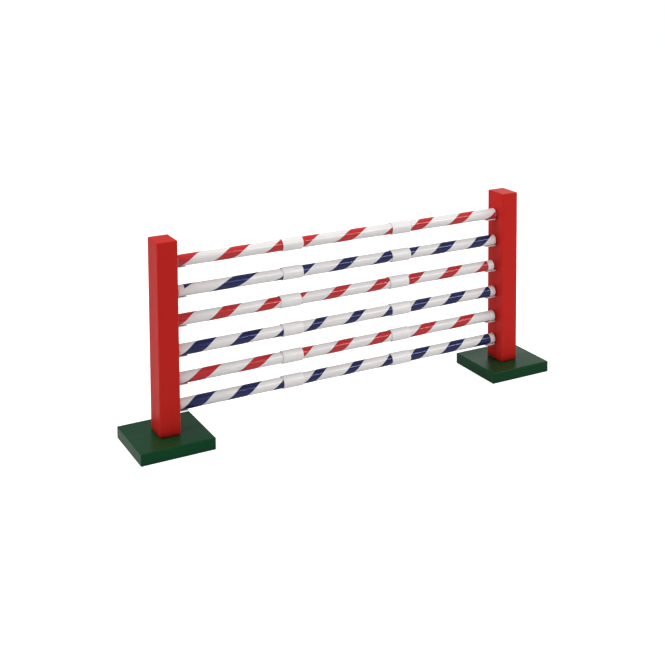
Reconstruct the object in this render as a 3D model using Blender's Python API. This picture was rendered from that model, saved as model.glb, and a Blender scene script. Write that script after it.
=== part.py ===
"""Agility hurdle for rabbits and other small animals.

Two free-standing stands, each a painted timber post screwed to a timber base plate, carry six knock-off
bars. A bar lies loose on one spoon-shaped rest at each end and lifts off forwards and upwards. A bar is
three plastic tubes joined by two sleeves, with a plug in each end.

+X runs along the bars, -Y is the front, +Z is up. The origin is on the ground, midway between the stands.
All lengths are in metres.
"""

from math import cos, pi, radians, sin, sqrt

import bmesh
import bpy

# Clearance between pieces that touch, and how far a cutter runs past the face it opens
GAP = 0.0003
OVERCUT = 0.002

# Stands
STAND_SPACING = 0.670  # centre to centre of the posts
BASE_LENGTH = 0.126  # along X
BASE_DEPTH = 0.120  # along Y
BASE_THICKNESS = 0.020
POST_WIDTH = 0.035  # along X
POST_DEPTH = 0.045  # along Y
POST_TOP = 0.340
BASE_EDGE = 0.0018  # radius of the sanded edges
POST_EDGE = 0.0015

# Bars, from the top one down
BAR_HEIGHTS = (0.300, 0.250, 0.202, 0.152, 0.105, 0.061)
BAR_SHIFTS = (0.0008, 0.0006, -0.0034, 0.0002, -0.0006, 0.0002)  # how far along X each one was laid
TUBE_RADIUS = 0.0095
TUBE_WALL = 0.0015
MIDDLE_TUBE = 0.211
OUTER_TUBE = 0.202
SLEEVE_LENGTH = 0.038
SLEEVE_RADIUS = 0.011
SLEEVE_CHAMFER = 0.0006
STOP_THICKNESS = 0.003  # rib inside the sleeve that both tubes butt against
PLUG_HEAD = 0.002
PLUG_LENGTH = 0.012
PLUG_WALL = 0.0014
PLUG_CHAMFER = 0.0005
BAR_SIDES = 24

# Rests
REST_LENGTH = 0.0215
REST_THICKNESS = 0.0016
REST_RADIUS = 0.015  # of the trough's inside, wider than the bar that lies in it
REST_ARC = radians(28)  # half the arc of the trough
REST_TIP_ARC = radians(14)
REST_NARROWS_AT = 0.75  # share of the length after which the lip narrows
REST_STATIONS = 9
REST_ARC_STEPS = 8
PEG_RADIUS = 0.0015
PEG_DEPTH = 0.018
PEG_RIB = 0.007  # how far the peg runs on under the trough
PEG_SIDES = 12

# Screw that holds a post to its base
SCREW_SHANK = 0.0024
SCREW_CORE = 0.0017
SCREW_HEAD = 0.0046
SCREW_HEAD_HEIGHT = 0.003
SCREW_SMOOTH = 0.022  # unthreaded length, head included
SCREW_LENGTH = 0.040
SCREW_PITCH = 0.003
SCREW_SUNK = 0.0008
SCREW_SIDES = 16
RECESS_REACH = 0.0026  # cross recess: arm length, half width and depth
RECESS_HALF_WIDTH = 0.0006
RECESS_DEPTH = 0.0018

RED_PAINT = (0.58, 0.022, 0.016)
GREEN_PAINT = (0.022, 0.085, 0.045)
WHITE_PLASTIC = (0.80, 0.80, 0.78)
GREY_WHITE_PLASTIC = (0.72, 0.72, 0.70)
STEEL = (0.55, 0.55, 0.56)


def clear_scene():
    for obj in list(bpy.data.objects):
        bpy.data.objects.remove(obj, do_unlink=True)


def make_material(name, colour, roughness, metallic=0.0):
    material = bpy.data.materials.new(name)
    material.use_nodes = True
    shader = material.node_tree.nodes["Principled BSDF"]
    shader.inputs["Base Color"].default_value = (*colour, 1.0)
    shader.inputs["Roughness"].default_value = roughness
    shader.inputs["Metallic"].default_value = metallic
    return material


def add_empty(name, location, turn=0.0):
    empty = bpy.data.objects.new(name, None)
    empty.location = location
    empty.rotation_euler = (0.0, 0.0, turn)
    bpy.context.collection.objects.link(empty)
    return empty


def add_piece(name, mesh, material, parent, location=(0.0, 0.0, 0.0), rotation=(0.0, 0.0, 0.0)):
    if not mesh.materials:
        mesh.materials.append(material)
    obj = bpy.data.objects.new(name, mesh)
    obj.parent = parent
    obj.location = location
    obj.rotation_euler = rotation
    bpy.context.collection.objects.link(obj)
    return obj


def add_cutter(name, mesh, parent, location=(0.0, 0.0, 0.0), rotation=(0.0, 0.0, 0.0)):
    obj = bpy.data.objects.new(name, mesh)
    obj.parent = parent
    obj.location = location
    obj.rotation_euler = rotation
    obj.hide_render = True
    obj.display_type = "WIRE"
    bpy.context.collection.objects.link(obj)
    return obj


def add_boolean(obj, tool, operation):
    modifier = obj.modifiers.new(tool.name, "BOOLEAN")
    modifier.operation = operation
    modifier.solver = "EXACT"
    modifier.object = tool


def finish_mesh(shape, name, smooth):
    """Turn a bmesh into a mesh whose faces point outwards."""
    bmesh.ops.recalc_face_normals(shape, faces=shape.faces)
    mesh = bpy.data.meshes.new(name)
    shape.to_mesh(mesh)
    shape.free()
    if smooth:
        mesh.shade_smooth()
        mesh.set_sharp_from_angle(angle=radians(35))
    return mesh


def skin_rings(shape, rings, close_ends, wrap=False):
    """Skin over rings of points. close_ends caps the first and last ring; wrap joins them instead."""
    loops = [[shape.verts.new(point) for point in ring] for ring in rings]
    pairs = list(zip(loops, loops[1:]))
    if wrap:
        pairs.append((loops[-1], loops[0]))
    for first, second in pairs:
        for i in range(len(first)):
            j = (i + 1) % len(first)
            shape.faces.new((first[i], first[j], second[j], second[i]))
    if close_ends:
        shape.faces.new(loops[0])
        shape.faces.new(loops[-1])


def loft_mesh(name, rings, close_ends=True, wrap=False, smooth=True):
    shape = bmesh.new()
    skin_rings(shape, rings, close_ends, wrap)
    return finish_mesh(shape, name, smooth)


def ring_about_x(x, radius, sides):
    return [(x, radius * cos(2 * pi * i / sides), radius * sin(2 * pi * i / sides)) for i in range(sides)]


def turned_mesh(name, profile, sides, hollow):
    """Turn a profile of (x, radius) points about X.

    A hollow profile is a closed loop, such as a tube's wall.
    """
    rings = [ring_about_x(x, radius, sides) for x, radius in profile]
    return loft_mesh(name, rings, close_ends=not hollow, wrap=hollow)


def block_mesh(name, length, depth, height):
    """Box centred on X and Y, standing on Z = 0."""
    shape = bmesh.new()
    bmesh.ops.create_cube(shape, size=1.0)
    for vertex in shape.verts:
        vertex.co.x *= length
        vertex.co.y *= depth
        vertex.co.z = (vertex.co.z + 0.5) * height
    return finish_mesh(shape, name, smooth=False)


def round_edges(obj, radius):
    bevel = obj.modifiers.new("sanded edges", "BEVEL")
    bevel.width = radius
    bevel.segments = 3
    bevel.limit_method = "ANGLE"


def peg_drop():
    """How far a rest's peg lies below the axis of the bar it holds."""
    return TUBE_RADIUS + 2 * GAP + PEG_RADIUS


# Bars


def tube_mesh(name, length):
    bore = TUBE_RADIUS - TUBE_WALL
    end = length / 2
    profile = ((-end, TUBE_RADIUS), (end, TUBE_RADIUS), (end, bore), (-end, bore))
    return turned_mesh(name, profile, BAR_SIDES, hollow=True)


def sleeve_mesh():
    bore = TUBE_RADIUS + GAP
    stop = TUBE_RADIUS - TUBE_WALL
    end = SLEEVE_LENGTH / 2
    rib = STOP_THICKNESS / 2
    profile = (
        (-end, SLEEVE_RADIUS - SLEEVE_CHAMFER),
        (-end + SLEEVE_CHAMFER, SLEEVE_RADIUS),
        (end - SLEEVE_CHAMFER, SLEEVE_RADIUS),
        (end, SLEEVE_RADIUS - SLEEVE_CHAMFER),
        (end, bore),
        (rib, bore),
        (rib, stop),
        (-rib, stop),
        (-rib, bore),
        (-end, bore),
    )
    return turned_mesh("sleeve", profile, BAR_SIDES, hollow=True)


def plug_mesh():
    """Cup-shaped end plug with its head towards +X and its origin where the head meets the tube."""
    spigot = TUBE_RADIUS - TUBE_WALL - GAP
    profile = (
        (0.0, spigot - PLUG_WALL),
        (-PLUG_LENGTH, spigot - PLUG_WALL),
        (-PLUG_LENGTH, spigot),
        (0.0, spigot),
        (0.0, TUBE_RADIUS),
        (PLUG_HEAD - PLUG_CHAMFER, TUBE_RADIUS),
        (PLUG_HEAD, TUBE_RADIUS - PLUG_CHAMFER),
    )
    return turned_mesh("plug", profile, BAR_SIDES, hollow=False)


def build_bars(plastic, sleeve_plastic):
    middle = tube_mesh("middle tube", MIDDLE_TUBE)
    outer = tube_mesh("outer tube", OUTER_TUBE)
    sleeve = sleeve_mesh()
    plug = plug_mesh()
    joint = MIDDLE_TUBE / 2 + GAP + STOP_THICKNESS / 2
    outer_centre = joint + STOP_THICKNESS / 2 + GAP + OUTER_TUBE / 2
    tube_end = outer_centre + OUTER_TUBE / 2 + GAP
    for number, (height, shift) in enumerate(zip(BAR_HEIGHTS, BAR_SHIFTS), start=1):
        bar = add_empty(f"bar_{number}_axis", (shift, 0.0, height))
        add_piece(f"bar_{number}_middle_tube", middle, plastic, bar)
        for side, sign, turn in (("left", -1, pi), ("right", 1, 0.0)):
            add_piece(f"bar_{number}_{side}_tube", outer, plastic, bar, (sign * outer_centre, 0.0, 0.0))
            add_piece(f"bar_{number}_{side}_sleeve", sleeve, sleeve_plastic, bar, (sign * joint, 0.0, 0.0))
            end = (sign * tube_end, 0.0, 0.0)
            add_piece(f"bar_{number}_{side}_plug", plug, sleeve_plastic, bar, end, (0.0, 0.0, turn))


# Stands


def rest_arc_at(share):
    """Half the arc of a rest's trough at a share of its length: full, then narrowing to the tip."""
    if share <= REST_NARROWS_AT:
        return REST_ARC
    along = (share - REST_NARROWS_AT) / (1 - REST_NARROWS_AT)
    return REST_TIP_ARC + (REST_ARC - REST_TIP_ARC) * sqrt(max(0.0, 1 - along * along))


def trough_ring(x, half_arc):
    """Cross-section of the trough at x: outer arc one way, inner arc back. The bar's axis is Y = Z = 0."""
    centre = REST_RADIUS - TUBE_RADIUS - GAP
    outer = REST_RADIUS + REST_THICKNESS
    angles = [half_arc * (2 * i / REST_ARC_STEPS - 1) for i in range(REST_ARC_STEPS + 1)]
    outside = [(x, outer * sin(a), centre - outer * cos(a)) for a in angles]
    inside = [(x, REST_RADIUS * sin(a), centre - REST_RADIUS * cos(a)) for a in reversed(angles)]
    return outside + inside


def rest_mesh():
    """Bar rest along +X from the post's face at X = 0, with its peg going back into the post."""
    shares = [i / (REST_STATIONS - 1) for i in range(REST_STATIONS)]
    rings = [trough_ring(GAP + (REST_LENGTH - GAP) * s, rest_arc_at(s)) for s in shares]
    trough = bpy.data.objects.new("trough", loft_mesh("rest", rings))
    bpy.context.collection.objects.link(trough)

    # The peg tapers off under the trough as a rib, and stays clear of the bar above.
    profile = ((-PEG_DEPTH, PEG_RADIUS), (0.0, PEG_RADIUS), (PEG_RIB, PEG_RADIUS * 0.45))
    peg_mesh = turned_mesh("peg", profile, PEG_SIDES, hollow=False)
    peg = add_cutter("peg", peg_mesh, None, (0.0, 0.0, -peg_drop()))
    add_boolean(trough, peg, "UNION")
    bpy.context.view_layer.objects.active = trough
    bpy.ops.object.modifier_apply(modifier=peg.name)
    mesh = trough.data
    bpy.data.objects.remove(trough)
    bpy.data.objects.remove(peg)
    return mesh


def screw_mesh():
    """Countersunk wood screw along +X, its head's face at X = 0. The thread is drawn as rings."""
    profile = [(0.0, SCREW_HEAD), (SCREW_HEAD_HEIGHT, SCREW_SHANK), (SCREW_SMOOTH, SCREW_SHANK)]
    turns = int((SCREW_LENGTH - SCREW_SMOOTH) / SCREW_PITCH) - 1
    for turn in range(turns):
        start = SCREW_SMOOTH + turn * SCREW_PITCH
        profile.append((start + SCREW_PITCH * 0.35, SCREW_CORE))
        profile.append((start + SCREW_PITCH * 0.65, SCREW_CORE))
        profile.append((start + SCREW_PITCH, SCREW_SHANK))
    profile.append((SCREW_LENGTH - SCREW_PITCH * 0.6, SCREW_CORE))
    profile.append((SCREW_LENGTH, SCREW_CORE * 0.15))
    return turned_mesh("screw", profile, SCREW_SIDES, hollow=False)


def recess_mesh():
    """Cross-shaped cutter for the screw's drive, narrowing as it goes in."""
    rings = []
    for x, scale in ((-OVERCUT, 1.3), (RECESS_DEPTH, 0.6)):
        reach = RECESS_REACH * scale
        half = RECESS_HALF_WIDTH * scale
        corner = ((reach, -half), (reach, half), (half, half))
        ring = []
        for quarter in range(4):
            c, s = cos(quarter * pi / 2), sin(quarter * pi / 2)
            ring.extend((x, c * y - s * z, s * y + c * z) for y, z in corner)
        rings.append(ring)
    return loft_mesh("recess", rings, smooth=False)


def base_hole_mesh():
    """Clearance hole with its countersink, along +X from the base's underside."""
    hole = SCREW_SHANK + GAP
    sink = SCREW_HEAD + 2 * GAP
    sink_end = SCREW_SUNK + SCREW_HEAD_HEIGHT + GAP
    profile = ((-OVERCUT, sink), (SCREW_SUNK, sink), (sink_end, hole), (BASE_THICKNESS + OVERCUT, hole))
    return turned_mesh("base hole", profile, SCREW_SIDES, hollow=False)


def post_holes_mesh(post_bottom):
    """One cutter for a post: six blind peg holes in the inner face and the screw's pilot hole."""
    shape = bmesh.new()
    blind_end = POST_WIDTH / 2 - PEG_DEPTH - GAP
    for height in BAR_HEIGHTS:
        z = height - peg_drop() - post_bottom
        rings = [ring_about_x(x, PEG_RADIUS + GAP, PEG_SIDES) for x in (blind_end, POST_WIDTH / 2 + OVERCUT)]
        skin_rings(shape, [[(px, py, pz + z) for px, py, pz in ring] for ring in rings], close_ends=True)
    pilot_top = SCREW_SUNK + SCREW_LENGTH + GAP - post_bottom
    rings = [ring_about_x(z, SCREW_SHANK + GAP, SCREW_SIDES) for z in (-OVERCUT, pilot_top)]
    skin_rings(shape, [[(py, pz, px) for px, py, pz in ring] for ring in rings], close_ends=True)
    return finish_mesh(shape, "post holes", smooth=False)


def build_stands(red, green, white, steel):
    """Both stands are the same, the right one turned half a turn so that its rests face the left one."""
    post_bottom = BASE_THICKNESS + GAP
    upwards = (0.0, -pi / 2, 0.0)
    post = block_mesh("post", POST_WIDTH, POST_DEPTH, POST_TOP - post_bottom)
    post_holes = post_holes_mesh(post_bottom)
    base = block_mesh("base", BASE_LENGTH, BASE_DEPTH, BASE_THICKNESS)
    base_hole = base_hole_mesh()
    rest = rest_mesh()
    screw = screw_mesh()
    recess = recess_mesh()
    for side, x, turn in (("left", -STAND_SPACING / 2, 0.0), ("right", STAND_SPACING / 2, pi)):
        stand = add_empty(f"{side}_stand", (x, 0.0, 0.0), turn)

        base_piece = add_piece(f"{side}_base", base, green, stand)
        round_edges(base_piece, BASE_EDGE)
        hole = add_cutter(f"{side}_base_hole", base_hole, stand, rotation=upwards)
        add_boolean(base_piece, hole, "DIFFERENCE")

        post_piece = add_piece(f"{side}_post", post, red, stand, (0.0, 0.0, post_bottom))
        round_edges(post_piece, POST_EDGE)
        holes = add_cutter(f"{side}_post_holes", post_holes, stand, (0.0, 0.0, post_bottom))
        add_boolean(post_piece, holes, "DIFFERENCE")

        foot = (0.0, 0.0, SCREW_SUNK)
        screw_piece = add_piece(f"{side}_base_screw", screw, steel, stand, foot, upwards)
        drive = add_cutter(f"{side}_screw_recess", recess, stand, foot, upwards)
        add_boolean(screw_piece, drive, "DIFFERENCE")

        for number, height in enumerate(BAR_HEIGHTS, start=1):
            add_piece(f"{side}_rest_{number}", rest, white, stand, (POST_WIDTH / 2, 0.0, height))


def build_hurdle():
    clear_scene()
    red = make_material("red paint", RED_PAINT, 0.38)
    green = make_material("dark green paint", GREEN_PAINT, 0.45)
    tube_plastic = make_material("white tube plastic", GREY_WHITE_PLASTIC, 0.30)
    white = make_material("white moulded plastic", WHITE_PLASTIC, 0.35)
    steel = make_material("zinc-plated steel", STEEL, 0.32, 1.0)
    build_stands(red, green, white, steel)
    build_bars(tube_plastic, white)


build_hurdle()
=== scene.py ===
"""The looks of the agility hurdle: painted timber stands and glossy bars wound with coloured tape.

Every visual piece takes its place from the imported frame. Lengths are in metres and angles in radians.
"""

from collections import namedtuple
from math import atan2, cos, pi, radians, sin, sqrt, tan, tau

import bmesh
import bpy
from mathutils import Euler, Matrix, Vector, noise


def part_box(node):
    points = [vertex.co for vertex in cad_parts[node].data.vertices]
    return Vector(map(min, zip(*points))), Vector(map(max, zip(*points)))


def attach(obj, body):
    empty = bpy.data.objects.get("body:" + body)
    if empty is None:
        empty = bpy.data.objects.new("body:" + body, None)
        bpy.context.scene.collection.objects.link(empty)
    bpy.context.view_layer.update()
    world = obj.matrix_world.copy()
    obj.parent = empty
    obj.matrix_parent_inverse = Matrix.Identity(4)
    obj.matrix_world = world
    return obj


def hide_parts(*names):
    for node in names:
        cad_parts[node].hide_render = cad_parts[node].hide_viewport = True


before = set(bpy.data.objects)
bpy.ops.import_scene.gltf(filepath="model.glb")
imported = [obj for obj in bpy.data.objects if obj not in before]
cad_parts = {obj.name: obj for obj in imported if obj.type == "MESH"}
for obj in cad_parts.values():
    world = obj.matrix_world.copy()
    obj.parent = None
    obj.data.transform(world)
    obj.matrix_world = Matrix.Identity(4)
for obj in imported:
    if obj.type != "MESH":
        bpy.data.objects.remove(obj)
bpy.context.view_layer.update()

MM = 0.001
INWARDS = {"left": 1, "right": -1}  # the way along X from each end of the hurdle towards its middle
SECTIONS = ("left", "middle", "right")

# Fineness of the visual meshes, and the angles in degrees beyond which an edge stays sharp
ROUND_SIDES = 64
HOLE_SIDES = 32
PEG_SIDES = 24
FILLET_STEPS = 4
TIMBER_STEP = 2.4 * MM
ARRIS_STEPS = 4
TIMBER_SHARP = 40.0
MOULDED_SHARP = 50.0
TAPE_SHARP = 60.0

# Timber: the rounding of its arrises, how deep faces are hollowed and arrises sanded and nicked, and seeds
# that make each block's wear its own
POST_ARRIS = 1.6 * MM
BASE_ARRIS = 1.3 * MM
HOLLOW = 0.12 * MM
SANDING = 0.35 * MM
NICKS = 0.7 * MM
POST_SEED = 1.7
BASE_SEED = 4.1

# Holes in the timber
PEG_CLEARANCE = 0.2 * MM
SCREW_HOLE = 2.7 * MM
SCREW_SINK = 5.1 * MM
SINK_DEPTH = 4.0 * MM
OVERCUT = 2.0 * MM

# Rests: the trough's section is an arc about a centre above it. Half its width is given as an angle, which
# grows from the root and shrinks again to the rounded tip.
REST_RADIUS = 20.0 * MM
REST_THICKNESS = 1.5 * MM
REST_GAP = 0.3 * MM  # to the post and to the bar
REST_ROOT_ARC = radians(12)
REST_ARC = radians(22)
REST_TIP_ARC = radians(11)
REST_LEAST_ARC = radians(1)
REST_WIDE_FROM = 0.3  # share of the length
REST_NARROWS_AT = 0.75  # share of the length
REST_DROOP = 0.9 * MM  # of the tip
REST_TIP_ROUND = 0.7 * MM
REST_TIP_THINNEST = 0.25
REST_STATIONS = 22
REST_ARC_STEPS = 14
REST_EDGE_STEPS = 5

# The peg in the post and the rib under the trough that it runs on as
PEG_RADIUS = 1.5 * MM
PEG_CHAMFER = 0.5 * MM
RIB_ROOT = 1.0 * MM
RIB_REACH = 7.0 * MM
RIB_TAPER = 0.62
RIB_STEPS = 6

# Bars: tubes, the sleeves that join them, and end plugs. Names that end in ROUND are the rounding of an edge.
TUBE_WALL = 1.5 * MM
TUBE_RIM_ROUND = 0.3 * MM
SLEEVE_GAP = 0.3 * MM
STOP_RIB_HALF_WIDTH = 1.5 * MM
STOP_RIB_ROUND = 0.3 * MM
SLEEVE_MOUTH_ROUND = 0.4 * MM
SLEEVE_RIM_ROUND = 0.7 * MM
PLUG_HEAD = 2.0 * MM
PLUG_DOME = 0.35 * MM  # how far the face stands out past the rim
PLUG_FLAT_SHARE = 0.45  # of the radius, where the dome flattens
PLUG_GAP = 0.3 * MM
PLUG_WALL = 1.4 * MM
PLUG_EYE = 0.4 * MM  # radius at which the profile ends near the axis
PLUG_FLOOR_ROUND = 0.5 * MM
PLUG_MOUTH_ROUND = 0.3 * MM
PLUG_TIP_ROUND = 0.6 * MM
PLUG_SHOULDER_ROUND = 0.2 * MM
PLUG_RIM_ROUND = 0.9 * MM
PLUG_CROWN_ROUND = 4.0 * MM

# Tape: for each bar, and for its three sections from the left, the place where the tape's left edge crosses
# the line that faces the standpoint, the pitch of the winding and the tape's width along the bar. All are in
# millimetres, and the place is measured from the hurdle's middle.
WINDINGS = {
    1: ((-234.0, 91.0, 35.0), (-9.0, 94.5, 33.0), (221.5, 87.0, 31.0)),
    2: ((-234.5, 116.0, 45.0), (-21.5, 84.5, 30.0), (182.5, 79.5, 33.0)),
    3: ((-246.5, 82.0, 32.0), (-36.0, 85.0, 30.5), (198.5, 82.0, 31.0)),
    4: ((-212.0, 83.0, 36.0), (2.5, 76.0, 22.5), (207.0, 77.0, 32.0)),
    5: ((-287.0, 94.5, 34.5), (-30.0, 80.5, 31.5), (225.5, 84.5, 32.5)),
    6: ((-214.0, 82.0, 35.0), (0.0, 75.0, 22.5), (204.5, 76.5, 32.5)),
}
# How far the tape stops short of a tube's end, where they aren't flush. Below zero it laps over the plug.
BARE_ENDS = {
    (1, "left"): -1.4 * MM,
    (1, "right"): -0.8 * MM,
    (2, "left"): 8.5 * MM,
    (3, "right"): 11.0 * MM,
    (4, "right"): 9.5 * MM,
    (5, "right"): 11.0 * MM,
    (6, "right"): 8.5 * MM,
}
TAPE_INSET = 0.2 * MM  # from a tube's end inside a sleeve
TAPE_LEAST = 0.4 * MM  # width at its first and last point
TAPE_LIFT = 0.02 * MM
TAPE_THICKNESS = 0.13 * MM
TAPE_EDGE_SHARE = 0.45  # of the thickness, left at the edges
TAPE_WANDER = 0.25 * MM
TAPE_TURN_STEPS = 60
TAPE_WIDTH_STEPS = 6

# Colours. Paint has its body, where it was brushed thin and where it is worn, and a very dark share of the
# thin shade is painted as shade at the foot. Tape and zinc have two shades, and the tape's deeper one also
# paints shade along its edges.
RED_PAINT = ((0.53, 0.016, 0.012), (0.46, 0.012, 0.009), (0.60, 0.040, 0.028))
GREEN_PAINT = ((0.002, 0.044, 0.013), (0.0015, 0.034, 0.009), (0.018, 0.078, 0.036))
RED_TAPE = ((0.50, 0.024, 0.028), (0.42, 0.017, 0.020))
NAVY_TAPE = ((0.012, 0.018, 0.100), (0.007, 0.011, 0.064))
EXTRUDED_WHITE = (0.765, 0.74, 0.735)
MOULDED_WHITE = (0.80, 0.775, 0.77)
EXTRUDED_ROUGHNESS = 0.24
MOULDED_ROUGHNESS = 0.30
ZINC = ((0.52, 0.52, 0.54), (0.42, 0.42, 0.40))

# Finish of the paint: roughness, specular level and the tint of its highlights
RED_SHEEN = (0.40, 0.10, (1.0, 0.80, 0.76))
GREEN_SHEEN = (0.30, 0.20, (0.42, 1.0, 0.72))

# Grain of the timber: its axis, how the textures are stretched along it, and the heart of the tree
POST_TIMBER = ("Z", (1.0, 1.0, 0.06), (0.0, 0.12, 0.0))
BASE_TIMBER = ("X", (0.06, 1.0, 1.0), (0.0, 0.01, -0.06))
RING_SPACING = 3.6 * MM
RING_UNIT = 0.314  # spacing of the wave texture's rings at a scale of 1
# How far above the foot of a post and of a base the painted contact shade reaches
POST_FOOT_SHADE = 14.0 * MM
BASE_FOOT_SHADE = 5.0 * MM

# How a fine texture is stretched: by extrusion along X, not at all, and by turning about Z
EXTRUDED = (0.04, 1.0, 1.0)
EVEN = (1.0, 1.0, 1.0)
TURNED = (1.0, 1.0, 0.2)

# Camera standpoint and lens. The lens is shifted, so that uprights stay nearly parallel.
STANDPOINT = Vector((-0.9578, -1.7558, 0.8427))
YAW = 0.50013
PITCH = -0.0843
ROLL = -0.0050
SENSOR_WIDTH = 36.0
LENS = 63.41
SHIFT_X = -0.0200
SHIFT_Y = -0.4678
VIEW_DISTANCE = 200.0

# Stage: softboxes as name, place, size and power in watts
FLOOR_RADIUS = 60.0
FLOOR_SIDES = 96
FLOOR_DROP = 0.2 * MM
FLOOR_COLOUR = (0.66, 0.66, 0.66)
FLOOR_GLOW = 0.75
SURROUND = 0.38
BACKDROP = 1.1
LIGHT_TARGET = Vector((0.0, 0.0, 0.2))
SOFTBOXES = (
    ("overhead", (-0.9, 0.1, 2.4), (1.4, 0.8), 32.0),
    ("left", (-3.0, -0.4, 1.3), (1.6, 1.6), 24.0),
    ("right", (3.0, -0.8, 1.5), (1.6, 1.6), 40.0),
    ("front", (1.5, -2.2, 1.75), (1.3, 0.2), 23.0),
    ("back_right", (2.3, 2.5, 1.25), (1.2, 1.0), 2.5),
)

Bar = namedtuple("Bar", "number height radius")


# Node helpers


class Nodes:
    """A material's node tree with short ways to add and join nodes."""

    def __init__(self, name):
        self.material = bpy.data.materials.new(name)
        self.material.use_nodes = True
        self.tree = self.material.node_tree
        self.shader = self.tree.nodes["Principled BSDF"]

    def add(self, kind, **inputs):
        """Add a node. An input's name has _ in place of a space."""
        node = self.tree.nodes.new(kind)
        for key, value in inputs.items():
            self.feed(node, key.replace("_", " "), value)
        return node

    def feed(self, node, socket, value):
        """Link a socket to another node's output, or give it a plain value."""
        if isinstance(value, bpy.types.NodeSocket):
            self.tree.links.new(value, node.inputs[socket])
        else:
            node.inputs[socket].default_value = value

    def place(self):
        """Object coordinates, which are world coordinates in the rest pose."""
        return self.add("ShaderNodeTexCoord").outputs["Object"]

    def stretched(self, scale, offset=(0.0, 0.0, 0.0)):
        """Coordinates scaled along each axis, so that a texture's features stretch along the grain."""
        node = self.add("ShaderNodeMapping", Vector=self.place(), Scale=scale, Location=offset)
        return node.outputs["Vector"]

    def height(self):
        """Height above the ground in the rest pose."""
        return self.add("ShaderNodeSeparateXYZ", Vector=self.place()).outputs["Z"]

    def noise(self, vector, scale, detail=3.0, roughness=0.5):
        node = self.add("ShaderNodeTexNoise", Vector=vector, Scale=scale, Detail=detail, Roughness=roughness)
        return node.outputs["Fac"]

    def growth_rings(self, axis, stretch, heart):
        """Wandering rings round a heart that lies off the piece. axis is the letter of the grain's axis."""
        node = self.add(
            "ShaderNodeTexWave",
            Vector=self.stretched(stretch, tuple(-c for c in heart)),
            Scale=RING_UNIT / RING_SPACING,
            Distortion=2.6,
            Detail=3.0,
            Detail_Scale=0.22,
            Detail_Roughness=0.6,
        )
        node.wave_type = "RINGS"
        node.rings_direction = axis
        return node.outputs["Fac"]

    def remap(self, value, low, high, to_low, to_high):
        """Map the range low to high onto to_low to to_high, and clamp what lies outside."""
        node = self.add("ShaderNodeMapRange", Value=value)
        limits = {"From Min": low, "From Max": high, "To Min": to_low, "To Max": to_high}
        for socket, limit in limits.items():
            self.feed(node, socket, limit)
        return node.outputs["Result"]

    def mix(self, factor, first, second):
        """Mix two colours. The node's sockets for colours share their names with others and go by number."""
        node = self.add("ShaderNodeMix")
        node.data_type = "RGBA"
        self.feed(node, 0, factor)
        self.feed(node, 6, first)
        self.feed(node, 7, second)
        return node.outputs[2]

    def math(self, operation, first, second):
        node = self.add("ShaderNodeMath")
        node.operation = operation
        self.feed(node, 0, first)
        self.feed(node, 1, second)
        return node.outputs["Value"]

    def attribute(self, name):
        """A number that the mesh carries at each vertex."""
        node = self.add("ShaderNodeAttribute")
        node.attribute_name = name
        return node.outputs["Fac"]

    def bump(self, height, distance, strength, normal=None):
        """Tilt the surface's normal by a height map, on top of an earlier bump if there is one."""
        node = self.add("ShaderNodeBump", Height=height, Distance=distance, Strength=strength)
        if normal is not None:
            self.feed(node, "Normal", normal)
        return node.outputs["Normal"]

    def finish(self, **inputs):
        """Feed the shader and hand over the material."""
        for key, value in inputs.items():
            self.feed(self.shader, key.replace("_", " "), value)
        return self.material


def colour(red, green, blue):
    """Opaque colour for a shader's socket."""
    return (red, green, blue, 1.0)


# Materials


def paint_material(name, colours, timber, sheen, foot, foot_shade_reach):
    """Satin paint brushed onto planed timber and worn at the arrises, with painted contact shade just above
    foot, a height.
    """
    n = Nodes(name)
    axis, grain, heart = timber
    roughness, specular, tint = sheen
    body, thin, worn = (colour(*c) for c in colours)
    # A very dark share of the thin shade, used for the painted shade at the foot
    foot_shade_colour = colour(*(c * 0.12 for c in colours[1]))
    along = n.stretched(grain)
    even = n.stretched(EVEN)
    patches = n.noise(along, 14.0, 2.0)
    strokes = n.noise(along, 420.0, 4.0, 0.6)
    pores = n.noise(along, 900.0, 2.0, 0.7)
    specks = n.noise(even, 700.0, 2.0)
    foot_shade_breakup = n.noise(even, 60.0, 3.0)
    rings = n.growth_rings(axis, tuple(max(c, 0.2) for c in grain), heart)
    late_wood = n.remap(rings, 0.55, 0.95, 0.0, 1.0)

    base = n.mix(n.remap(patches, 0.35, 0.65, 0.0, 0.7), body, thin)
    base = n.mix(n.math("MULTIPLY", late_wood, 0.22), base, thin)
    rubbed = n.remap(n.attribute("arris"), 0.35, 0.9, 0.0, 0.55)
    rubbed = n.math("MULTIPLY", rubbed, n.remap(strokes, 0.3, 0.6, 0.2, 1.0))
    base = n.mix(rubbed, base, worn)
    # Painted contact shade: darkest at foot and fading upwards, broken up by noise
    foot_shade = n.math("POWER", n.remap(n.height(), foot, foot + foot_shade_reach, 1.0, 0.0), 1.6)
    foot_shade = n.math("MULTIPLY", foot_shade, n.remap(foot_shade_breakup, 0.3, 0.7, 0.45, 0.8))
    base = n.mix(foot_shade, base, foot_shade_colour)

    rough = n.remap(patches, 0.3, 0.7, roughness - 0.05, roughness + 0.05)
    rough = n.math("ADD", rough, n.remap(strokes, 0.3, 0.7, -0.05, 0.05))
    normal = n.bump(late_wood, 0.035 * MM, 0.7)
    normal = n.bump(strokes, 0.06 * MM, 0.6, normal)
    normal = n.bump(pores, 0.02 * MM, 0.5, normal)
    normal = n.bump(specks, 0.012 * MM, 0.5, normal)
    return n.finish(
        Base_Color=base,
        Roughness=rough,
        Normal=normal,
        Specular_IOR_Level=specular,
        Specular_Tint=colour(*tint),
    )


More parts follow.
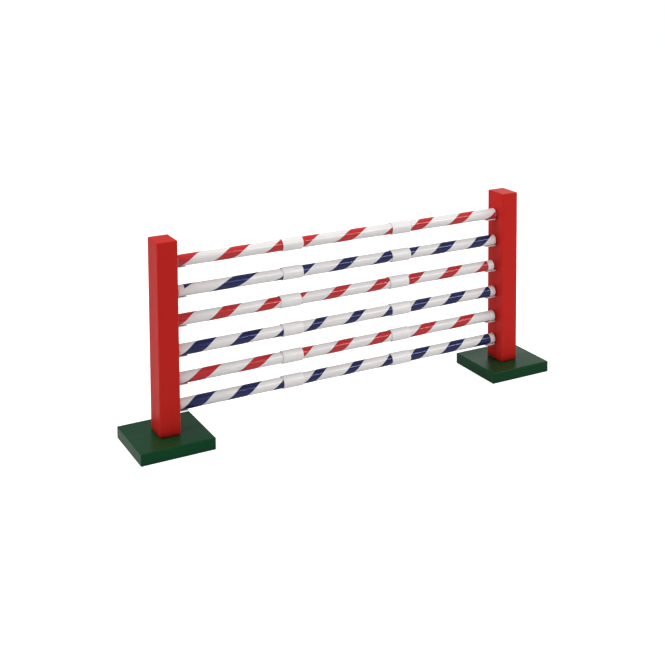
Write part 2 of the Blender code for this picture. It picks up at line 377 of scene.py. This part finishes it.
def white_plastic_material(name, base_colour, roughness, streaks):
    """White plastic, a little cloudy, with scuffs and with fine lines that are stretched by streaks."""
    n = Nodes(name)
    clouds = n.noise(n.stretched(EVEN), 22.0, 2.0)
    lines = n.noise(n.stretched(streaks), 700.0, 3.0, 0.6)
    scuffs = n.noise(n.stretched(EVEN), 240.0, 4.0, 0.65)
    shade = colour(*(c * 0.93 for c in base_colour))
    rough = n.remap(clouds, 0.3, 0.7, roughness - 0.03, roughness + 0.04)
    rough = n.math("ADD", rough, n.remap(scuffs, 0.45, 0.7, 0.0, 0.015))
    normal = n.bump(clouds, 0.05 * MM, 0.5)
    normal = n.bump(lines, 0.008 * MM, 0.4, normal)
    return n.finish(
        Base_Color=n.mix(n.remap(clouds, 0.35, 0.7, 0.0, 0.6), colour(*base_colour), shade),
        Roughness=rough,
        Normal=normal,
        Subsurface_Weight=0.08,
        Subsurface_Radius=(0.6, 0.6, 0.55),
        Subsurface_Scale=2.0 * MM,
    )


def tape_material(name, colours):
    """Glossy printed film, stretched as it is wound: fine creases run along it, and painted shade darkens its
    edges.
    """
    n = Nodes(name)
    body, deep = (colour(*c) for c in colours)
    creases = n.noise(n.stretched((0.35, 1.0, 1.0)), 260.0, 4.0, 0.55)
    ripple = n.noise(n.stretched((0.2, 1.0, 1.0)), 90.0, 2.0)
    base = n.mix(n.remap(ripple, 0.35, 0.65, 0.0, 0.5), body, deep)
    # Painted shade along both edges of the tape
    base = n.mix(n.remap(n.attribute("edge"), 0.7, 1.0, 0.0, 0.45), base, deep)
    return n.finish(
        Base_Color=base,
        Roughness=n.remap(creases, 0.3, 0.7, 0.12, 0.20),
        Normal=n.bump(creases, 0.02 * MM, 0.5),
        Specular_IOR_Level=0.32,
    )


def steel_material():
    """Zinc-plated steel with turning marks and the plating's blotches."""
    n = Nodes("zinc plated steel")
    bright, dull = (colour(*c) for c in ZINC)
    spin = n.noise(n.stretched(TURNED), 1400.0, 4.0, 0.6)
    blotches = n.noise(n.stretched(EVEN), 300.0, 3.0)
    return n.finish(
        Base_Color=n.mix(n.remap(blotches, 0.35, 0.65, 0.0, 1.0), bright, dull),
        Metallic=1.0,
        Roughness=n.remap(spin, 0.3, 0.7, 0.24, 0.42),
        Normal=n.bump(spin, 0.01 * MM, 0.6),
    )


# Mesh helpers


def add_object(name, shape):
    """Turn a bmesh into an object of the scene."""
    mesh = bpy.data.meshes.new(name)
    shape.to_mesh(mesh)
    shape.free()
    added = bpy.data.objects.new(name, mesh)
    bpy.context.scene.collection.objects.link(added)
    return added


def add_closed_object(name, shape):
    """Turn a bmesh of closed surfaces into an object whose faces look outwards."""
    bmesh.ops.recalc_face_normals(shape, faces=shape.faces)
    return add_object(name, shape)


def smooth(piece, sharp_angle):
    """Shade a piece smooth except at edges sharper than an angle in degrees."""
    piece.data.shade_smooth()
    piece.data.set_sharp_from_angle(angle=radians(sharp_angle))


def new_piece(name, shape, material, body, sharp_angle):
    """Make a smooth-shaded piece from a bmesh in world coordinates and let it ride on its body."""
    piece = add_closed_object(name, shape)
    smooth(piece, sharp_angle)
    piece.data.materials.append(material)
    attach(piece, body)
    return piece


def combine(piece, other, operation):
    """Apply a Boolean of another object to a piece and drop the other object."""
    modifier = piece.modifiers.new("combine", "BOOLEAN")
    modifier.operation = operation
    modifier.solver = "EXACT"
    modifier.object = other
    bpy.context.view_layer.objects.active = piece
    bpy.ops.object.modifier_apply(modifier=modifier.name)
    bpy.data.objects.remove(other)


def cut(piece, holes):
    """Cut a bmesh of closed cutters out of a piece."""
    combine(piece, add_closed_object("holes", holes), "DIFFERENCE")


def skin_rings(shape, rings, wrap=False):
    """Skin over rings of points or vertices. The ends are capped unless the last ring joins the first."""
    pairs = list(zip(rings, rings[1:]))
    if wrap:
        pairs.append((rings[-1], rings[0]))
    for first, second in pairs:
        for i in range(len(first)):
            j = (i + 1) % len(first)
            shape.faces.new((first[i], first[j], second[j], second[i]))
    if not wrap:
        shape.faces.new(rings[0])
        shape.faces.new(rings[-1])


def skin_points(shape, rings, wrap=False):
    """Add a vertex at each point of the rings and skin over them."""
    skin_rings(shape, [[shape.verts.new(point) for point in ring] for ring in rings], wrap)


def ring_about_x(x, radius, height, sides=ROUND_SIDES):
    """Ring of points about a line parallel to X at Y = 0."""
    return [(x, -radius * cos(tau * i / sides), height + radius * sin(tau * i / sides)) for i in range(sides)]


def fillet(corner, before, after, radius):
    """Points of an arc that rounds the corner of a profile between two neighbouring points."""
    corner, before, after = Vector(corner), Vector(before), Vector(after)
    towards_before = (before - corner).normalized()
    towards_after = (after - corner).normalized()
    half = towards_before.angle(towards_after) / 2
    reach = radius / tan(half)
    middle = corner + (towards_before + towards_after).normalized() * (radius / sin(half))
    start = corner + towards_before * reach - middle
    end = corner + towards_after * reach - middle
    turn = pi - 2 * half
    side = 1 if start.cross(end) > 0 else -1
    points = []
    for i in range(FILLET_STEPS + 1):
        angle = side * turn * i / FILLET_STEPS
        x = middle.x + start.x * cos(angle) - start.y * sin(angle)
        y = middle.y + start.x * sin(angle) + start.y * cos(angle)
        points.append((x, y))
    return points


def rounded_profile(corners, closed):
    """Profile of rounded (x, radius, rounding) corners. An open one keeps its two end points."""
    points = []
    count = len(corners)
    for i, (x, y, rounding) in enumerate(corners):
        at_end = not closed and i in (0, count - 1)
        if at_end or rounding == 0.0:
            points.append((x, y))
        else:
            before = corners[(i - 1) % count][:2]
            after = corners[(i + 1) % count][:2]
            points.extend(fillet((x, y), before, after, rounding))
    return points


def outer_and_inner(node, side):
    """X of a node's two ends, first the one nearer the hurdle's end on that side."""
    low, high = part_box(node)
    return (low.x, high.x) if INWARDS[side] > 0 else (high.x, low.x)


# Timber


def axis_stations(low, high, arris):
    """Lattice positions along one side of a block: an arc's worth at each end and even steps between."""
    offsets = [arris * (1 - tan(radians(45) * i / ARRIS_STEPS)) for i in range(ARRIS_STEPS, 0, -1)]
    inner_low, inner_high = low + arris, high - arris
    count = max(2, round((inner_high - inner_low) / TIMBER_STEP))
    inner = [inner_low + (inner_high - inner_low) * i / count for i in range(count + 1)]
    return [low + d for d in offsets] + inner + [high - d for d in reversed(offsets)]


def timber_depth(point, roundness, seed):
    """How far the painted surface lies below the true block, which is a little hollow with dented arrises."""
    hollow = HOLLOW * (0.5 + 0.5 * noise.noise(point * 16 + Vector((seed, 0, 0))))
    nick = max(0.0, noise.noise(point * 120 + Vector((0, seed, 0))) - 0.25)
    sanded = 0.5 + 0.5 * noise.noise(point * 30 + Vector((0, 0, seed)))
    return hollow + roundness * (SANDING * sanded + NICKS * nick)


def timber_block(kind, side, arris, seed, material):
    """Block with rounded, dented arrises. Each vertex carries its roundness, from 0 on a face to 1."""
    node = f"{side}_{kind}"
    low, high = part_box(node)
    stations = [axis_stations(low[a], high[a], arris) for a in range(3)]
    last = [len(s) - 1 for s in stations]
    shape = bmesh.new()
    arris_layer = shape.verts.layers.float.new("arris")
    lattice = {}

    def vertex(index):
        if index not in lattice:
            on_block = Vector(stations[a][index[a]] for a in range(3))
            inner = Vector(min(max(on_block[a], low[a] + arris), high[a] - arris) for a in range(3))
            outward = (on_block - inner).normalized()
            roundness = min(1.0, (1 - max(abs(c) for c in outward)) / (1 - sqrt(0.5)))
            depth = timber_depth(on_block, roundness, seed)
            vert = shape.verts.new(inner + outward * (arris - depth))
            vert[arris_layer] = roundness
            lattice[index] = vert
        return lattice[index]

    for axis in range(3):
        u, v = [a for a in range(3) if a != axis]
        for end in (0, last[axis]):
            for i in range(last[u]):
                for j in range(last[v]):
                    corners = []
                    for di, dj in ((0, 0), (1, 0), (1, 1), (0, 1)):
                        index = [0, 0, 0]
                        index[axis], index[u], index[v] = end, i + di, j + dj
                        corners.append(vertex(tuple(index)))
                    shape.faces.new(corners)
    piece = new_piece(f"{kind}_{side}", shape, material, f"{side}_stand", TIMBER_SHARP)
    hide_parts(node)
    return piece


def hole_about(shape, axis, start, end, start_radius, end_radius):
    """Add a round cutter, straight or tapered, between two points that lie along an axis."""
    u, v = [a for a in range(3) if a != axis]
    rings = []
    for middle, radius in ((start, start_radius), (end, end_radius)):
        ring = []
        for i in range(HOLE_SIDES):
            point = list(middle)
            point[u] += radius * cos(tau * i / HOLE_SIDES)
            point[v] += radius * sin(tau * i / HOLE_SIDES)
            ring.append(point)
        rings.append(ring)
    skin_points(shape, rings)


# Stands


def post_holes(side):
    """Blind holes for the pegs of one post, and the screw's pilot hole."""
    shape = bmesh.new()
    inwards = INWARDS[side]
    inner_face = outer_and_inner(f"{side}_post", side)[1]
    peg_hole = PEG_RADIUS + PEG_CLEARANCE
    for number in WINDINGS:
        blind_end = outer_and_inner(f"{side}_rest_{number}", side)[0]
        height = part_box(f"{side}_rest_{number}")[0].z + PEG_RADIUS
        start = (blind_end - inwards * PEG_CLEARANCE, 0.0, height)
        end = (inner_face + inwards * OVERCUT, 0.0, height)
        hole_about(shape, 0, start, end, peg_hole, peg_hole)
    low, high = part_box(f"{side}_base_screw")
    middle = (low + high) / 2
    start = (middle.x, middle.y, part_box(f"{side}_post")[0].z - OVERCUT)
    end = (middle.x, middle.y, high.z + PEG_CLEARANCE)
    hole_about(shape, 2, start, end, SCREW_HOLE, SCREW_HOLE)
    return shape


def screw_hole(side):
    """Clearance hole through the base."""
    shape = bmesh.new()
    low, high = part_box(f"{side}_base")
    x, y = (low.x + high.x) / 2, (low.y + high.y) / 2
    hole_about(shape, 2, (x, y, low.z - OVERCUT), (x, y, high.z + OVERCUT), SCREW_HOLE, SCREW_HOLE)
    return shape


def countersink(side):
    """Cone that sinks the screw's head into the base from below."""
    shape = bmesh.new()
    low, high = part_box(f"{side}_base")
    x, y = (low.x + high.x) / 2, (low.y + high.y) / 2
    slope = (SCREW_SINK - SCREW_HOLE) / SINK_DEPTH
    widest = SCREW_SINK + slope * OVERCUT
    hole_about(shape, 2, (x, y, low.z - OVERCUT), (x, y, low.z + SINK_DEPTH), widest, SCREW_HOLE)
    return shape


def trough_section(x, centre, half_thickness, half_arc):
    """Cross-section of a trough with rounded lips, as a closed loop of points about a centre above it."""
    radius = REST_RADIUS + REST_THICKNESS / 2
    lip = max(half_arc - half_thickness / radius, REST_LEAST_ARC)
    points = []

    def place(angle, distance, along=0.0):
        y = distance * sin(angle) + along * cos(angle)
        z = -distance * cos(angle) + along * sin(angle)
        points.append((x, y, centre + z))

    for i in range(REST_ARC_STEPS + 1):
        place(lip * (2 * i / REST_ARC_STEPS - 1), radius + half_thickness)
    for i in range(1, REST_EDGE_STEPS):
        turn = pi * i / REST_EDGE_STEPS
        place(lip, radius + half_thickness * cos(turn), half_thickness * sin(turn))
    for i in range(REST_ARC_STEPS + 1):
        place(lip * (1 - 2 * i / REST_ARC_STEPS), radius - half_thickness)
    for i in range(1, REST_EDGE_STEPS):
        turn = pi * i / REST_EDGE_STEPS
        place(-lip, radius - half_thickness * cos(turn), -half_thickness * sin(turn))
    return points


def trough_shape(face, tip, centre):
    """Trough from a post's face to its tip, where it narrows and turns down a little."""
    shape = bmesh.new()
    length = abs(tip - face)
    inwards = (tip - face) / length
    rings = []
    for i in range(REST_STATIONS + 1):
        share = sin(pi / 2 * i / REST_STATIONS)
        reach = REST_GAP + (length - REST_GAP) * share
        widening = sin(pi / 2 * min(1.0, reach / length / REST_WIDE_FROM))
        narrowing = max(0.0, (share - REST_NARROWS_AT) / (1 - REST_NARROWS_AT))
        half_arc = REST_ROOT_ARC + (REST_ARC - REST_ROOT_ARC) * widening
        half_arc -= (REST_ARC - REST_TIP_ARC) * (1 - sqrt(1 - narrowing ** 2))
        near_tip = max(0.0, 1 - (length - reach) / REST_TIP_ROUND)
        half_thickness = REST_THICKNESS / 2 * max(REST_TIP_THINNEST, sqrt(1 - near_tip ** 2))
        droop = REST_DROOP * narrowing ** 2
        rings.append(trough_section(face + inwards * reach, centre - droop, half_thickness, half_arc))
    skin_points(shape, rings)
    return shape


def peg_shape(blind_end, face, inwards, height):
    """Peg in its hole, which runs on past the post's face as a tapering rib under the trough."""
    shape = bmesh.new()
    profile = [
        (blind_end, PEG_RADIUS - PEG_CHAMFER),
        (blind_end + inwards * PEG_CHAMFER, PEG_RADIUS),
        (face + inwards * RIB_ROOT, PEG_RADIUS),
    ]
    for i in range(1, RIB_STEPS + 1):
        share = sin(pi / 2 * i / RIB_STEPS)
        reach = RIB_ROOT + (RIB_REACH - RIB_ROOT) * share
        profile.append((face + inwards * reach, PEG_RADIUS * (1 - RIB_TAPER * share ** 2)))
    skin_points(shape, [ring_about_x(x, radius, height, PEG_SIDES) for x, radius in profile])
    return shape


def rest_piece(side, number, material):
    """Spoon-shaped rest: a trough whose lip narrows to a rounded tip, with its peg and the rib under it."""
    node = f"{side}_rest_{number}"
    blind_end, tip = outer_and_inner(node, side)
    inner_face = outer_and_inner(f"{side}_post", side)[1]
    bar_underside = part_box(f"bar_{number}_middle_tube")[0].z
    trough = trough_shape(inner_face, tip, bar_underside - REST_GAP + REST_RADIUS)
    name = f"rest_{side}_{number}"
    piece = new_piece(name, trough, material, f"{side}_stand", MOULDED_SHARP)
    peg = peg_shape(blind_end, inner_face, INWARDS[side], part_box(node)[0].z + PEG_RADIUS)
    combine(piece, add_closed_object("peg", peg), "UNION")
    smooth(piece, MOULDED_SHARP)
    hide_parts(node)


def build_stands(red, green, moulded, steel):
    """Both stands. Their screws keep the CAD shape and get a material."""
    for count, side in enumerate(INWARDS, start=1):
        post = timber_block("post", side, POST_ARRIS, POST_SEED * count, red)
        cut(post, post_holes(side))
        base = timber_block("base", side, BASE_ARRIS, BASE_SEED * count, green)
        cut(base, screw_hole(side))
        cut(base, countersink(side))
        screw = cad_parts[f"{side}_base_screw"]
        screw.data.materials.clear()
        screw.data.materials.append(steel)
        for number in WINDINGS:
            rest_piece(side, number, moulded)


# Bars


def turned_piece(bar, name, node, corners, closed, material):
    """Piece that is round about its bar's axis, from a closed profile or one that ends near the axis."""
    shape = bmesh.new()
    profile = rounded_profile(corners, closed)
    skin_points(shape, [ring_about_x(x, radius, bar.height) for x, radius in profile], wrap=closed)
    piece = new_piece(name, shape, material, f"bar_{bar.number}", MOULDED_SHARP)
    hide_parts(node)


def tube_piece(bar, section, material):
    """Extruded tube with softened rims."""
    node = f"bar_{bar.number}_{section}_tube"
    low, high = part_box(node)
    bore = bar.radius - TUBE_WALL
    corners = [
        (low.x, bar.radius, TUBE_RIM_ROUND),
        (high.x, bar.radius, TUBE_RIM_ROUND),
        (high.x, bore, TUBE_RIM_ROUND),
        (low.x, bore, TUBE_RIM_ROUND),
    ]
    turned_piece(bar, f"tube_{bar.number}_{section}", node, corners, True, material)


def sleeve_piece(bar, side, material):
    """Moulded sleeve with rounded rims and a lead-in at each mouth, and the stop rib inside."""
    node = f"bar_{bar.number}_{side}_sleeve"
    low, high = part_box(node)
    middle = (low.x + high.x) / 2
    outer = (high.z - low.z) / 2
    bore = bar.radius + SLEEVE_GAP
    rib = bar.radius - TUBE_WALL
    corners = [
        (low.x, outer, SLEEVE_RIM_ROUND),
        (high.x, outer, SLEEVE_RIM_ROUND),
        (high.x, bore, SLEEVE_MOUTH_ROUND),
        (middle + STOP_RIB_HALF_WIDTH, bore, 0.0),
        (middle + STOP_RIB_HALF_WIDTH, rib, STOP_RIB_ROUND),
        (middle - STOP_RIB_HALF_WIDTH, rib, STOP_RIB_ROUND),
        (middle - STOP_RIB_HALF_WIDTH, bore, 0.0),
        (low.x, bore, SLEEVE_MOUTH_ROUND),
    ]
    turned_piece(bar, f"sleeve_{bar.number}_{side}", node, corners, True, material)


def plug_piece(bar, side, material):
    """Cup-shaped end plug with a softly domed head."""
    node = f"bar_{bar.number}_{side}_plug"
    face, mouth = outer_and_inner(node, side)
    inwards = INWARDS[side]
    shoulder = face + inwards * PLUG_HEAD
    spigot = bar.radius - TUBE_WALL - PLUG_GAP
    bore = spigot - PLUG_WALL
    corners = [
        (shoulder, PLUG_EYE, 0.0),
        (shoulder, bore, PLUG_FLOOR_ROUND),
        (mouth, bore, PLUG_MOUTH_ROUND),
        (mouth, spigot, PLUG_TIP_ROUND),
        (shoulder, spigot, 0.0),
        (shoulder, bar.radius, PLUG_SHOULDER_ROUND),
        (face + inwards * PLUG_DOME, bar.radius, PLUG_RIM_ROUND),
        (face, bar.radius * PLUG_FLAT_SHARE, PLUG_CROWN_ROUND),
        (face, PLUG_EYE, 0.0),
    ]
    turned_piece(bar, f"plug_{bar.number}_{side}", node, corners, False, material)


def tape_limits(bar, section):
    """X of the first and last cut of a section's tape: inside the sleeves, and at or near the bar's ends."""
    low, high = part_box(f"bar_{bar.number}_{section}_tube")
    bare = BARE_ENDS.get((bar.number, section), 0.0)
    first = low.x + (bare if section == "left" else TAPE_INSET)
    final = high.x - (bare if section == "right" else TAPE_INSET)
    return first, final


def tape_piece(bar, section, material):
    """Helical winding of tape that climbs the bar's front from left to right, with square-cut ends."""
    place = SECTIONS.index(section)
    first, final = tape_limits(bar, section)
    crossing, pitch, width = (value * MM for value in WINDINGS[bar.number][place])
    facing = atan2(STANDPOINT.z - bar.height, -STANDPOINT.y)
    turn_first = facing + tau * (first + TAPE_LEAST - crossing - width) / pitch
    turn_final = facing + tau * (final - TAPE_LEAST - crossing) / pitch
    count = round((turn_final - turn_first) / tau * TAPE_TURN_STEPS)

    shape = bmesh.new()
    edge_layer = shape.verts.layers.float.new("edge")
    inner = bar.radius + TAPE_LIFT
    rings = []
    for i in range(count + 1):
        angle = turn_first + (turn_final - turn_first) * i / count
        wander = Vector((angle * 0.8, bar.number, place))
        left = crossing + pitch * (angle - facing) / tau
        right = left + width + TAPE_WANDER * noise.noise(wander * 1.3)
        left += TAPE_WANDER * noise.noise(wander)
        left = min(max(left, first), final)
        right = min(max(right, first), final)
        loop = []
        for step in range(TAPE_WIDTH_STEPS + 1):
            at_edge = step in (0, TAPE_WIDTH_STEPS)
            radius = inner + TAPE_THICKNESS * (TAPE_EDGE_SHARE if at_edge else 1.0)
            x = left + (right - left) * step / TAPE_WIDTH_STEPS
            vert = shape.verts.new((x, -radius * cos(angle), bar.height + radius * sin(angle)))
            vert[edge_layer] = 1.0 if at_edge else 0.0
            loop.append(vert)
        for x in (right, left):
            loop.append(shape.verts.new((x, -inner * cos(angle), bar.height + inner * sin(angle))))
        rings.append(loop)
    skin_rings(shape, rings)
    name = f"tape_{bar.number}_{section}"
    new_piece(name, shape, material, f"bar_{bar.number}", TAPE_SHARP)


def build_bars(extruded, moulded, red_tape, navy_tape):
    """Six bars, with red and navy tape by turns from the top."""
    for number in WINDINGS:
        low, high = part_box(f"bar_{number}_middle_tube")
        bar = Bar(number, (low.z + high.z) / 2, (high.z - low.z) / 2)
        tape = red_tape if number % 2 else navy_tape
        for section in SECTIONS:
            tube_piece(bar, section, extruded)
            tape_piece(bar, section, tape)
        for side in INWARDS:
            sleeve_piece(bar, side, moulded)
            plug_piece(bar, side, moulded)


# Stage


def camera_rays(tree):
    """1 for what the camera sees directly, 0 for reflections and bounced light."""
    return tree.nodes.new("ShaderNodeLightPath").outputs["Is Camera Ray"]


def floor_material():
    """Pale and matt, and bright enough for the camera to stay white where the lamps no longer reach."""
    n = Nodes("pale floor")
    return n.finish(
        Base_Color=colour(*FLOOR_COLOUR),
        Roughness=0.7,
        Specular_IOR_Level=0.2,
        Emission_Color=colour(1.0, 1.0, 1.0),
        Emission_Strength=n.math("MULTIPLY", camera_rays(n.tree), FLOOR_GLOW),
    )


def build_floor():
    """Plain round floor that reaches to the horizon."""
    shape = bmesh.new()
    bmesh.ops.create_circle(shape, cap_ends=True, radius=FLOOR_RADIUS, segments=FLOOR_SIDES)
    floor = add_object("floor", shape)
    floor.data.materials.append(floor_material())
    floor.location.z = -FLOOR_DROP


def add_softbox(name, location, size, power):
    """Rectangular lamp that faces the middle of the hurdle."""
    data = bpy.data.lights.new(name, "AREA")
    data.shape = "RECTANGLE"
    data.size, data.size_y = size
    data.energy = power
    light = bpy.data.objects.new(name, data)
    light.location = location
    light.rotation_euler = (LIGHT_TARGET - Vector(location)).to_track_quat("-Z", "Y").to_euler()
    bpy.context.scene.collection.objects.link(light)


def build_lights():
    """Softboxes overhead, to both sides, in front and behind, and a dim surround behind a white backdrop."""
    world = bpy.data.worlds.new("studio")
    world.use_nodes = True
    tree = world.node_tree
    background = tree.nodes["Background"]
    background.inputs["Color"].default_value = colour(1.0, 1.0, 1.0)
    strength = tree.nodes.new("ShaderNodeMapRange")
    tree.links.new(camera_rays(tree), strength.inputs["Value"])
    strength.inputs["To Min"].default_value = SURROUND
    strength.inputs["To Max"].default_value = BACKDROP
    tree.links.new(strength.outputs["Result"], background.inputs["Strength"])
    bpy.context.scene.world = world
    for name, location, size, power in SOFTBOXES:
        add_softbox(name, location, size, power)


def lens_shift_at_standpoint(camera, path, shift):
    """Shift the lens only at the standpoint it is meant for. Elsewhere the lens is not shifted."""
    driver = camera.data.driver_add(path).driver
    height = driver.variables.new()
    height.name = "height"
    height.type = "TRANSFORMS"
    height.targets[0].id = camera
    height.targets[0].transform_type = "LOC_Z"
    driver.type = "SCRIPTED"
    driver.expression = f"{shift} if abs(height - {STANDPOINT.z:.6f}) < 0.0001 else 0.0"


def build_camera():
    """Camera at the standpoint. It looks nearly level, and the lens is shifted down to the hurdle."""
    data = bpy.data.cameras.new("camera")
    camera = bpy.data.objects.new("camera", data)
    data.sensor_width = SENSOR_WIDTH
    data.lens = LENS
    data.clip_end = VIEW_DISTANCE
    facing = Euler((pi / 2 + PITCH, 0.0, -YAW)).to_matrix()
    camera.matrix_world = Matrix.Translation(STANDPOINT) @ (facing @ Matrix.Rotation(ROLL, 3, "Z")).to_4x4()
    bpy.context.scene.collection.objects.link(camera)
    lens_shift_at_standpoint(camera, "shift_x", SHIFT_X)
    lens_shift_at_standpoint(camera, "shift_y", SHIFT_Y)
    bpy.context.scene.camera = camera


bpy.context.scene.view_settings.view_transform = "Standard"
base_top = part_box("left_base")[1].z
red_paint = paint_material("red paint", RED_PAINT, POST_TIMBER, RED_SHEEN, base_top, POST_FOOT_SHADE)
green_paint = paint_material("dark green paint", GREEN_PAINT, BASE_TIMBER, GREEN_SHEEN, 0.0, BASE_FOOT_SHADE)
extruded = white_plastic_material("extruded white plastic", EXTRUDED_WHITE, EXTRUDED_ROUGHNESS, EXTRUDED)
moulded = white_plastic_material("moulded white plastic", MOULDED_WHITE, MOULDED_ROUGHNESS, EVEN)
red_film = tape_material("red tape", RED_TAPE)
navy_film = tape_material("navy tape", NAVY_TAPE)
build_stands(red_paint, green_paint, moulded, steel_material())
build_bars(extruded, moulded, red_film, navy_film)
build_floor()
build_lights()
build_camera()
